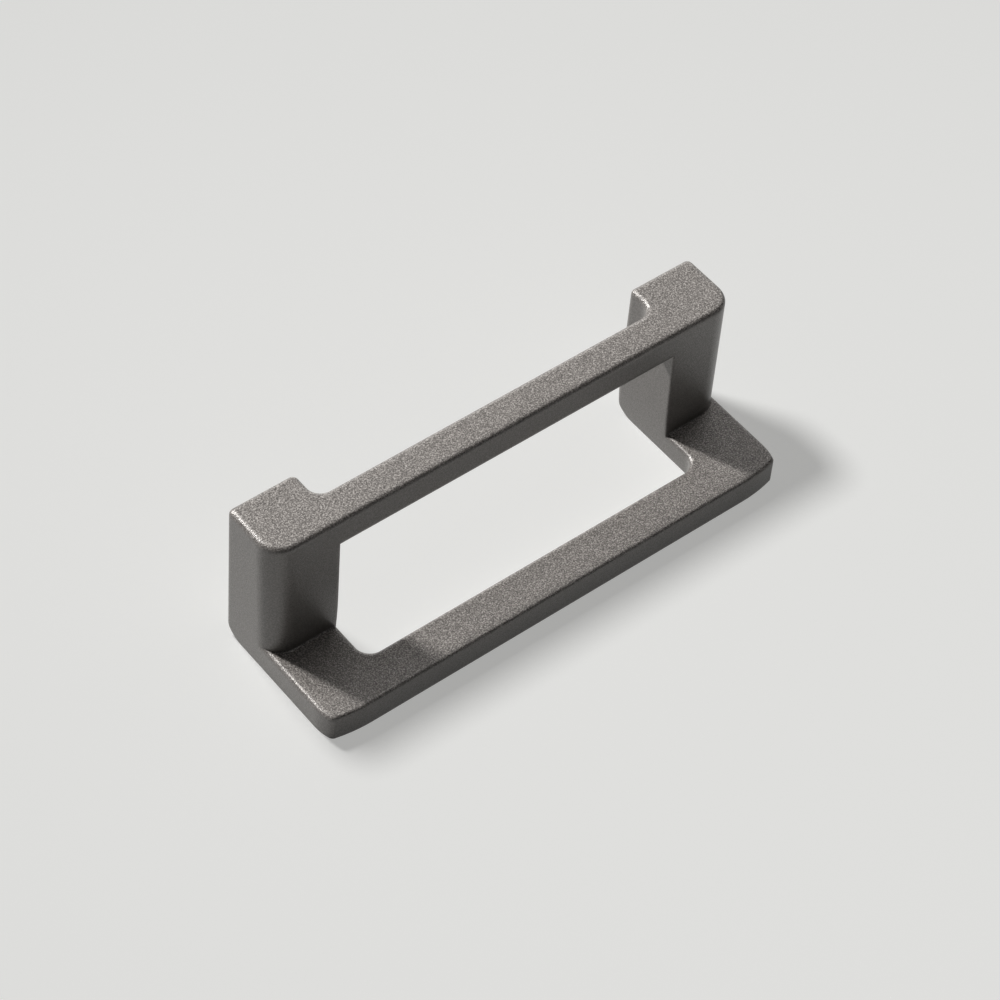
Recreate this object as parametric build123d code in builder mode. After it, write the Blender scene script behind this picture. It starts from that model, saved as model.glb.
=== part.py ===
from build123d import *
import math
import os

# Cast pull handle, one solid. X runs along the handle and -Y is its front. The underside is the mounting
# plane, Z = 0, and the origin lies midway between the two mounting holes. All sizes are in millimetres.

# Overall sizes
overall_length = 110.0
overall_height = 36.0

# Posts, whose front faces lie in one plane with the front of the grip bar
post_top_width = 15.2
post_top_depth = 14.4
post_front_radius = 5.1
post_rear_radius = 1.3
rear_draft_angle = 1.7
heel_radius = 5.0

# Inner sides of the posts and feet: a slight lean, then a flare towards the mounting plane
inner_draft_angle = 0.8
flare_height = 14.0
flare_reach = 0.8

# Grip bar between the tops of the posts
grip_bar_depth = 7.5
grip_bar_height = 6.4
notch_radius = 2.9

# Feet that run forward from the posts, and the lower bar that joins them
foot_thickness = 6.1
foot_reach = 18.5
lower_bar_width = 9.0
opening_radius = 3.3

# Front corners of the feet: two shallow curves that meet in a small radius
corner_inset_x = 0.9
corner_inset_y = 1.1
side_curve_length = 5.5
front_curve_length = 9.4
foot_corner_radius = 1.2

# Softened upper edges
top_edge_radius = 1.2
foot_edge_radius = 0.8

# Blind holes in the undersides of the posts, tapped for M4 screws
hole_spacing = 96.0
hole_setback = 6.4
tap_radius = 1.65
tap_depth = 12.0
mouth_chamfer = 0.5
drill_tip_angle = 118.0

# Places that follow from the sizes
half_length = overall_length / 2
front_y = -hole_setback
rear_top_y = front_y + post_top_depth
rear_base_y = rear_top_y + overall_height * math.tan(math.radians(rear_draft_angle))
bar_rear_y = front_y + grip_bar_depth
foot_front_y = front_y - foot_reach
foot_rear_y = front_y + post_front_radius
opening_front_y = foot_front_y + lower_bar_width
inner_top_x = half_length - post_top_width
inner_slope = math.tan(math.radians(inner_draft_angle))
flare_top_x = inner_top_x + (overall_height - flare_height) * inner_slope
inner_base_x = flare_top_x + flare_height * inner_slope + flare_reach
bar_end_x = half_length - post_top_width / 2
corner_point = (half_length - corner_inset_x, foot_front_y + corner_inset_y)
heel_reach = heel_radius * math.tan(math.radians(45 + rear_draft_angle / 2))
heel_end = (
    rear_base_y - heel_reach * math.sin(math.radians(rear_draft_angle)),
    heel_reach * math.cos(math.radians(rear_draft_angle)),
)
top_plane = Plane.XY.offset(overall_height)
hole_plane = Plane.XZ.move(Location((hole_spacing / 2, 0, 0)))
drill_tip_height = tap_radius / math.tan(math.radians(drill_tip_angle / 2))

# An upright edge spans at least this height, and its middle is this close to the depth it is named by
upright_height = foot_thickness / 2
upright_reach = 1.0
# Edges closer than this to a plane lie in it
plane_tolerance = 0.01


def upright_edges(half, at_y):
    """Upright edges at one depth, from the innermost to the outermost."""
    upright = half.edges().filter_by(lambda edge: edge.bounding_box().size.Z > upright_height)
    return upright.filter_by(lambda edge: abs(edge.center().Y - at_y) < upright_reach).sort_by(Axis.X)


def outward_edges(edges):
    """The edges outside the plane X = 0, where the two halves join and stay sharp."""
    return edges.filter_by(lambda edge: edge.center().X > plane_tolerance)


# The clear space between the two ends, from the lower bar to the rear
with BuildPart() as clear_space:
    with BuildSketch(Plane.XZ.offset(-rear_base_y)):
        with BuildLine():
            lean = Line((inner_top_x, overall_height), (flare_top_x, flare_height))
            flare = TangentArc(lean @ 1, (inner_base_x, 0), tangent=lean % 1)
            Polyline(flare @ 1, (0, 0), (0, overall_height), lean @ 0)
        make_face()
    extrude(amount=rear_base_y - opening_front_y)

# One post and the half of the grip bar that it carries
with BuildPart() as upper_half:
    with BuildSketch():
        with Locations((0, front_y)):
            Rectangle(half_length, post_top_depth, align=(Align.MIN, Align.MIN))
    extrude(amount=overall_height)
    draft(upper_half.faces().sort_by(Axis.Y)[-1], top_plane, rear_draft_angle)
    add(clear_space.part, mode=Mode.SUBTRACT)
    fillet(upright_edges(upper_half, front_y)[-1], post_front_radius)
    rear_edges = upright_edges(upper_half, rear_top_y)
    fillet([rear_edges[0], rear_edges[-1]], post_rear_radius)
    with BuildSketch(top_plane):
        with Locations((0, front_y)):
            Rectangle(bar_end_x, grip_bar_depth, align=(Align.MIN, Align.MIN))
    extrude(amount=-grip_bar_height)
    fillet(upright_edges(upper_half, bar_rear_y)[-1], notch_radius)
    fillet(outward_edges(upper_half.edges().group_by(Axis.Z)[-1]), top_edge_radius)

# One foot and the half of the lower bar that joins it
with BuildPart() as lower_half:
    with BuildSketch():
        with BuildLine():
            side = Line((half_length, foot_rear_y), (half_length, foot_front_y + side_curve_length))
            front = Line((0, foot_front_y), (half_length - front_curve_length, foot_front_y))
            TangentArc(side @ 1, corner_point, tangent=side % 1)
            TangentArc(front @ 1, corner_point, tangent=front % 1)
            Polyline(side @ 0, (0, foot_rear_y), front @ 0)
        make_face()
    extrude(amount=foot_thickness)
    fillet(upright_edges(lower_half, corner_point[1])[-1], foot_corner_radius)
    add(clear_space.part, mode=Mode.SUBTRACT)
    fillet(upright_edges(lower_half, opening_front_y)[-1], opening_radius)
    foot_top = outward_edges(lower_half.edges().group_by(Axis.Z)[-1])
    foot_top = foot_top.filter_by(lambda edge: edge.center().Y < foot_rear_y - plane_tolerance)
    fillet(foot_top, foot_edge_radius)

# The whole handle: one half with its heel rounded and its hole drilled, then mirrored
with BuildPart() as handle_frame:
    add(upper_half.part)
    add(lower_half.part)
    with BuildSketch(Plane.YZ):
        with BuildLine():
            heel_start = (rear_base_y - heel_reach, 0)
            heel = TangentArc(heel_start, heel_end, tangent=(1, 0))
            Polyline(heel @ 1, (rear_base_y, heel_end[1]), (rear_base_y, 0), heel @ 0)
        make_face()
    extrude(amount=half_length, mode=Mode.SUBTRACT)
    with BuildSketch(hole_plane):
        with BuildLine():
            Polyline(
                (0, 0),
                (tap_radius + mouth_chamfer, 0),
                (tap_radius, mouth_chamfer),
                (tap_radius, tap_depth),
                (0, tap_depth + drill_tip_height),
                close=True,
            )
        make_face()
    revolve(axis=Axis(hole_plane.origin, (0, 0, 1)), mode=Mode.SUBTRACT)
    mirror(about=Plane.YZ)

handle_frame.part.label = "handle_frame"
os.makedirs("parts", exist_ok=True)
export_step(handle_frame.part, "parts/handle_frame.step")
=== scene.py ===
import math
import bpy
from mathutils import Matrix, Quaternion, Vector

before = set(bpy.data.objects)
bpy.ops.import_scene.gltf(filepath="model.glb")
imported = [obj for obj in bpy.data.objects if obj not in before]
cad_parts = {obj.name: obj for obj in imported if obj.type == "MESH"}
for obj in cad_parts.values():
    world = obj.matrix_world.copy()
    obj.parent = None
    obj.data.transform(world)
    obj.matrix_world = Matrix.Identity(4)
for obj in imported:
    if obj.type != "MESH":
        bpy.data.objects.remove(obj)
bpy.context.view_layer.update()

# Lengths are in metres and angles in degrees, unless a name says otherwise. A lamp's azimuth counts from +X
# towards +Y. Colours are red, green and blue in linear light.

# Camera: where the lens stands, the azimuth it looks along, counted from +Y towards +X, how far it looks
# down, and its roll
CAMERA_PLACE = Vector((-0.26697, -0.30435, 0.4883))
CAMERA_AZIMUTH = 41.655
CAMERA_ELEVATION = 49.846
CAMERA_ROLL = 4.542
FOCAL_LENGTH_MM = 116.889
SENSOR_MM = 36.0

# Paint: its sandy grains, the width of the soft shading beside each edge, and its gloss
GRAINS_PER_METRE = 3600
GRAIN_DETAIL = 2
GRAIN_ROUGHNESS = 0.6
# This turn keeps every flat face from lying along the grains' lattice
GRAIN_TURN_RADIANS = (0.6, 0.5, 0.4)
GRAIN_RELIEF = 0.00006
EDGE_SOFTNESS = 0.0008
EDGE_SAMPLES = 6
PAINT_METALLIC = 0.2
PAINT_ROUGHNESS = 0.33

# The paint's colour at some values of the grains' noise. Faces that look up have the coarse grains, with
# painted glints and painted shade: their specks are lighter and darker, as light on their relief would make
# them. Upright faces have the fine grains, and between two values of the normal's Z one blends into the
# other.
FINE_GRAINS = (
    (0.3, (0.122, 0.113, 0.107)),
    (0.7, (0.242, 0.228, 0.215)),
)
COARSE_GRAINS_AND_PAINTED_GLINTS = (
    (0.36, (0.068, 0.061, 0.056)),
    (0.52, (0.163, 0.149, 0.137)),
    (0.66, (0.355, 0.331, 0.309)),
)
UPRIGHT_BELOW = 0.3
LOOKS_UP_ABOVE = 0.9

# Floor: its width, how much of its brightness no shadow takes away, how much the lamp gives it, how pale it
# is under the handle and at the palest, and its tint
FLOOR_SIZE = 8.0
FLOOR_GLOW = 0.382
FLOOR_LIT = 0.356
FLOOR_ALBEDO = 0.65
FLOOR_PALEST = 0.95
FLOOR_TINT = (1.0, 1.0, 0.98)

# Two small lamps behind the handle, one for the floor and one for the handle: azimuth, elevation, distance
# and diameter, then power in watts, and how much of the key lamp the paint reflects as gloss
FLOOR_LAMP = (106.0, 56.4, 0.408, 0.074)
FLOOR_LAMP_POWER = 6.29
KEY_LAMP = (111.0, 41.0, 1.8, 0.16)
KEY_LAMP_POWER = 50.0
KEY_LAMP_GLOSS = 0.8

# Light on the handle as from far away: azimuth, elevation, width and strength. The glint is seen only as a
# reflection in the paint. The distance is only where these lamps are drawn.
GLINT = (97.0, 54.0, 5.0, 0.75)
SOFT_LIGHTS = {
    "low_right": (56.0, 12.0, 40.0, 0.9),
    "high_right": (20.0, 32.0, 26.0, 0.3),
    "overhead": (30.0, 76.0, 40.0, 0.72),
}
SOFT_LIGHT_DISTANCE = 1.0

# Dim light from all round
SURROUNDINGS = (0.02, 0.02, 0.02)


def rgb(red, green, blue):
    """A colour socket's value."""
    return (red, green, blue, 1.0)


def direction(azimuth, elevation):
    """The unit vector that points from the handle to a lamp."""
    azimuth = math.radians(azimuth)
    elevation = math.radians(elevation)
    return Vector((
        math.cos(azimuth) * math.cos(elevation),
        math.sin(azimuth) * math.cos(elevation),
        math.sin(elevation),
    ))


def new_material(name):
    """A material with its nodes, its links and its shader."""
    material = bpy.data.materials.new(name)
    material.use_nodes = True
    nodes = material.node_tree.nodes
    return material, nodes, material.node_tree.links, nodes["Principled BSDF"]


def calculate(nodes, links, operation, first, second):
    """The result of a maths node; first is a socket, second a socket or a number."""
    node = nodes.new("ShaderNodeMath")
    node.operation = operation
    links.new(first, node.inputs[0])
    if isinstance(second, float):
        node.inputs[1].default_value = second
    else:
        links.new(second, node.inputs[1])
    return node.outputs["Value"]


def colour_ramp(nodes, links, value, stops):
    """The colour that a value has on a ramp between stops."""
    ramp = nodes.new("ShaderNodeValToRGB")
    elements = ramp.color_ramp.elements
    for position, _ in stops[1:-1]:
        elements.new(position)
    for element, (position, colour) in zip(elements, stops):
        element.position = position
        element.color = rgb(*colour)
    links.new(value, ramp.inputs["Fac"])
    return ramp.outputs["Color"]


def grain_noise(nodes, links, place):
    """The noise that makes the paint's grains."""
    turned = nodes.new("ShaderNodeMapping")
    turned.inputs["Rotation"].default_value = GRAIN_TURN_RADIANS
    links.new(place.outputs["Object"], turned.inputs["Vector"])
    grains = nodes.new("ShaderNodeTexNoise")
    grains.inputs["Scale"].default_value = GRAINS_PER_METRE
    grains.inputs["Detail"].default_value = GRAIN_DETAIL
    grains.inputs["Roughness"].default_value = GRAIN_ROUGHNESS
    links.new(turned.outputs["Vector"], grains.inputs["Vector"])
    return grains.outputs["Fac"]


def grain_colour_and_painted_glints(nodes, links, place, grains):
    """The fine grains' colour on upright faces, and the coarse grains with painted glints and painted shade
    on faces that look up.
    """
    facing = nodes.new("ShaderNodeSeparateXYZ")
    links.new(place.outputs["Normal"], facing.inputs["Vector"])
    upward = nodes.new("ShaderNodeMapRange")
    upward.inputs["From Min"].default_value = UPRIGHT_BELOW
    upward.inputs["From Max"].default_value = LOOKS_UP_ABOVE
    links.new(facing.outputs["Z"], upward.inputs["Value"])
    mixed = nodes.new("ShaderNodeMix")
    mixed.data_type = "RGBA"
    links.new(upward.outputs["Result"], mixed.inputs["Factor"])
    links.new(colour_ramp(nodes, links, grains, FINE_GRAINS), mixed.inputs["A"])
    # On faces that look up the paint's colour carries painted glints and painted shade
    links.new(colour_ramp(nodes, links, grains, COARSE_GRAINS_AND_PAINTED_GLINTS), mixed.inputs["B"])
    return mixed.outputs["Result"]


def grain_relief(nodes, links, grains):
    """The grains' small relief, on a surface whose shading is softened beside each edge."""
    soft_edges = nodes.new("ShaderNodeBevel")
    soft_edges.samples = EDGE_SAMPLES
    soft_edges.inputs["Radius"].default_value = EDGE_SOFTNESS
    bump = nodes.new("ShaderNodeBump")
    bump.inputs["Strength"].default_value = 1.0
    bump.inputs["Distance"].default_value = GRAIN_RELIEF
    links.new(grains, bump.inputs["Height"])
    links.new(soft_edges.outputs["Normal"], bump.inputs["Normal"])
    return bump.outputs["Normal"]


def textured_paint():
    """Sandy metallic paint in a warm dark grey, with painted glints and painted shade in its grains on faces
    that look up.
    """
    material, nodes, links, shader = new_material("textured_paint")
    shader.inputs["Metallic"].default_value = PAINT_METALLIC
    shader.inputs["Roughness"].default_value = PAINT_ROUGHNESS
    place = nodes.new("ShaderNodeTexCoord")
    grains = grain_noise(nodes, links, place)
    links.new(grain_colour_and_painted_glints(nodes, links, place, grains), shader.inputs["Base Color"])
    links.new(grain_relief(nodes, links, grains), shader.inputs["Normal"])
    return material


def make_camera():
    azimuth = math.radians(CAMERA_AZIMUTH)
    elevation = math.radians(CAMERA_ELEVATION)
    forward = Vector((
        math.sin(azimuth) * math.cos(elevation),
        math.cos(azimuth) * math.cos(elevation),
        -math.sin(elevation),
    ))
    roll = Quaternion((0, 0, 1), math.radians(CAMERA_ROLL))
    data = bpy.data.cameras.new("camera")
    data.lens = FOCAL_LENGTH_MM
    data.sensor_width = SENSOR_MM
    camera = bpy.data.objects.new("camera", data)
    camera.rotation_mode = "QUATERNION"
    camera.rotation_quaternion = forward.to_track_quat("-Z", "Y") @ roll
    camera.location = CAMERA_PLACE
    bpy.context.collection.objects.link(camera)
    bpy.context.scene.camera = camera


def floor_colour(nodes, links, from_lamp, lamp_distance):
    """Paler away from the lamp, by as much as the lamp's light slants more there."""
    pale = calculate(nodes, links, "MULTIPLY", from_lamp, FLOOR_ALBEDO / lamp_distance)
    pale = calculate(nodes, links, "MINIMUM", pale, FLOOR_PALEST)
    colour = nodes.new("ShaderNodeVectorMath")
    colour.operation = "SCALE"
    colour.inputs[0].default_value = FLOOR_TINT
    links.new(pale, colour.inputs["Scale"])
    return colour.outputs["Vector"]


def floor_glow(nodes, links, from_lamp, lamp_distance):
    """A glow that the camera, reflections and glass see, so that shadows stay pale. Where the floor's colour
    can't grow paler, it makes up for the light that is lost."""
    palest_from = FLOOR_PALEST / FLOOR_ALBEDO * lamp_distance
    lost = calculate(nodes, links, "SUBTRACT", from_lamp, palest_from)
    lost = calculate(nodes, links, "DIVIDE", lost, from_lamp)
    lost = calculate(nodes, links, "MAXIMUM", lost, 0.0)
    glow = calculate(nodes, links, "MULTIPLY", lost, FLOOR_LIT)
    glow = calculate(nodes, links, "ADD", glow, FLOOR_GLOW)
    path = nodes.new("ShaderNodeLightPath")
    seen = calculate(nodes, links, "MAXIMUM", path.outputs["Is Camera Ray"], path.outputs["Is Glossy Ray"])
    seen = calculate(nodes, links, "MAXIMUM", seen, path.outputs["Is Transmission Ray"])
    return calculate(nodes, links, "MULTIPLY", seen, glow)


def make_floor():
    bpy.ops.mesh.primitive_plane_add(size=FLOOR_SIZE)
    floor = bpy.context.active_object
    floor.name = "floor"
    material, nodes, links, shader = new_material("floor")
    shader.inputs["Roughness"].default_value = 1.0
    shader.inputs["Specular IOR Level"].default_value = 0.0
    shader.inputs["Emission Color"].default_value = rgb(*FLOOR_TINT)
    azimuth, elevation, lamp_distance, _ = FLOOR_LAMP
    place = nodes.new("ShaderNodeTexCoord")
    away = nodes.new("ShaderNodeVectorMath")
    away.operation = "DISTANCE"
    away.inputs[1].default_value = direction(azimuth, elevation) * lamp_distance
    links.new(place.outputs["Object"], away.inputs[0])
    from_lamp = away.outputs["Value"]
    links.new(floor_colour(nodes, links, from_lamp, lamp_distance), shader.inputs["Base Color"])
    links.new(floor_glow(nodes, links, from_lamp, lamp_distance), shader.inputs["Emission Strength"])
    floor.data.materials.append(material)
    return floor


def light_groups(floor):
    """Two collections, which keep a lamp's light on the floor or off it."""
    groups = []
    for name, state in (("floor_only", "INCLUDE"), ("all_but_floor", "EXCLUDE")):
        group = bpy.data.collections.new(name)
        group.objects.link(floor)
        group.collection_objects[0].light_linking.link_state = state
        groups.append(group)
    return groups


def add_lamp(name, data, azimuth, elevation, distance, group):
    """Puts a lamp where it is seen from the handle in one direction, and turns it to the handle."""
    lamp = bpy.data.objects.new(name, data)
    towards = direction(azimuth, elevation)
    lamp.location = towards * distance
    lamp.rotation_mode = "QUATERNION"
    lamp.rotation_quaternion = (-towards).to_track_quat("-Z", "Y")
    lamp.light_linking.receiver_collection = group
    bpy.context.collection.objects.link(lamp)


def disc_lamp(name, setting, power, group):
    """A round lamp near the handle."""
    azimuth, elevation, distance, diameter = setting
    data = bpy.data.lights.new(name, "AREA")
    data.shape = "DISK"
    data.size = diameter
    data.energy = power
    add_lamp(name, data, azimuth, elevation, distance, group)
    return data


def keep_strength(data):
    """Makes a lamp's light stay as strong at any distance."""
    data.use_nodes = True
    falloff = data.node_tree.nodes.new("ShaderNodeLightFalloff")
    falloff.inputs["Strength"].default_value = 1.0
    emission = data.node_tree.nodes["Emission"]
    data.node_tree.links.new(falloff.outputs["Constant"], emission.inputs["Strength"])


def soft_light(name, setting, group):
    """Light from far away, as wide as its setting says."""
    azimuth, elevation, width, strength = setting
    data = bpy.data.lights.new(name, "SUN")
    data.angle = math.radians(width)
    data.energy = strength
    add_lamp(name, data, azimuth, elevation, SOFT_LIGHT_DISTANCE, group)
    return data


def make_lights(floor):
    floor_only, all_but_floor = light_groups(floor)
    keep_strength(disc_lamp("floor_lamp", FLOOR_LAMP, FLOOR_LAMP_POWER, floor_only))
    key_lamp = disc_lamp("key_lamp", KEY_LAMP, KEY_LAMP_POWER, all_but_floor)
    key_lamp.specular_factor = KEY_LAMP_GLOSS
    glint = soft_light("glint", GLINT, all_but_floor)
    glint.diffuse_factor = 0.0
    for name, setting in SOFT_LIGHTS.items():
        soft_light(name, setting, all_but_floor)


def make_world():
    world = bpy.data.worlds.new("world")
    world.use_nodes = True
    world.node_tree.nodes["Background"].inputs["Color"].default_value = rgb(*SURROUNDINGS)
    bpy.context.scene.world = world


make_camera()
make_lights(make_floor())
make_world()

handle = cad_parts["handle_frame"]
handle.data.materials.clear()
handle.data.materials.append(textured_paint())

bpy.context.scene.view_settings.view_transform = "Standard"
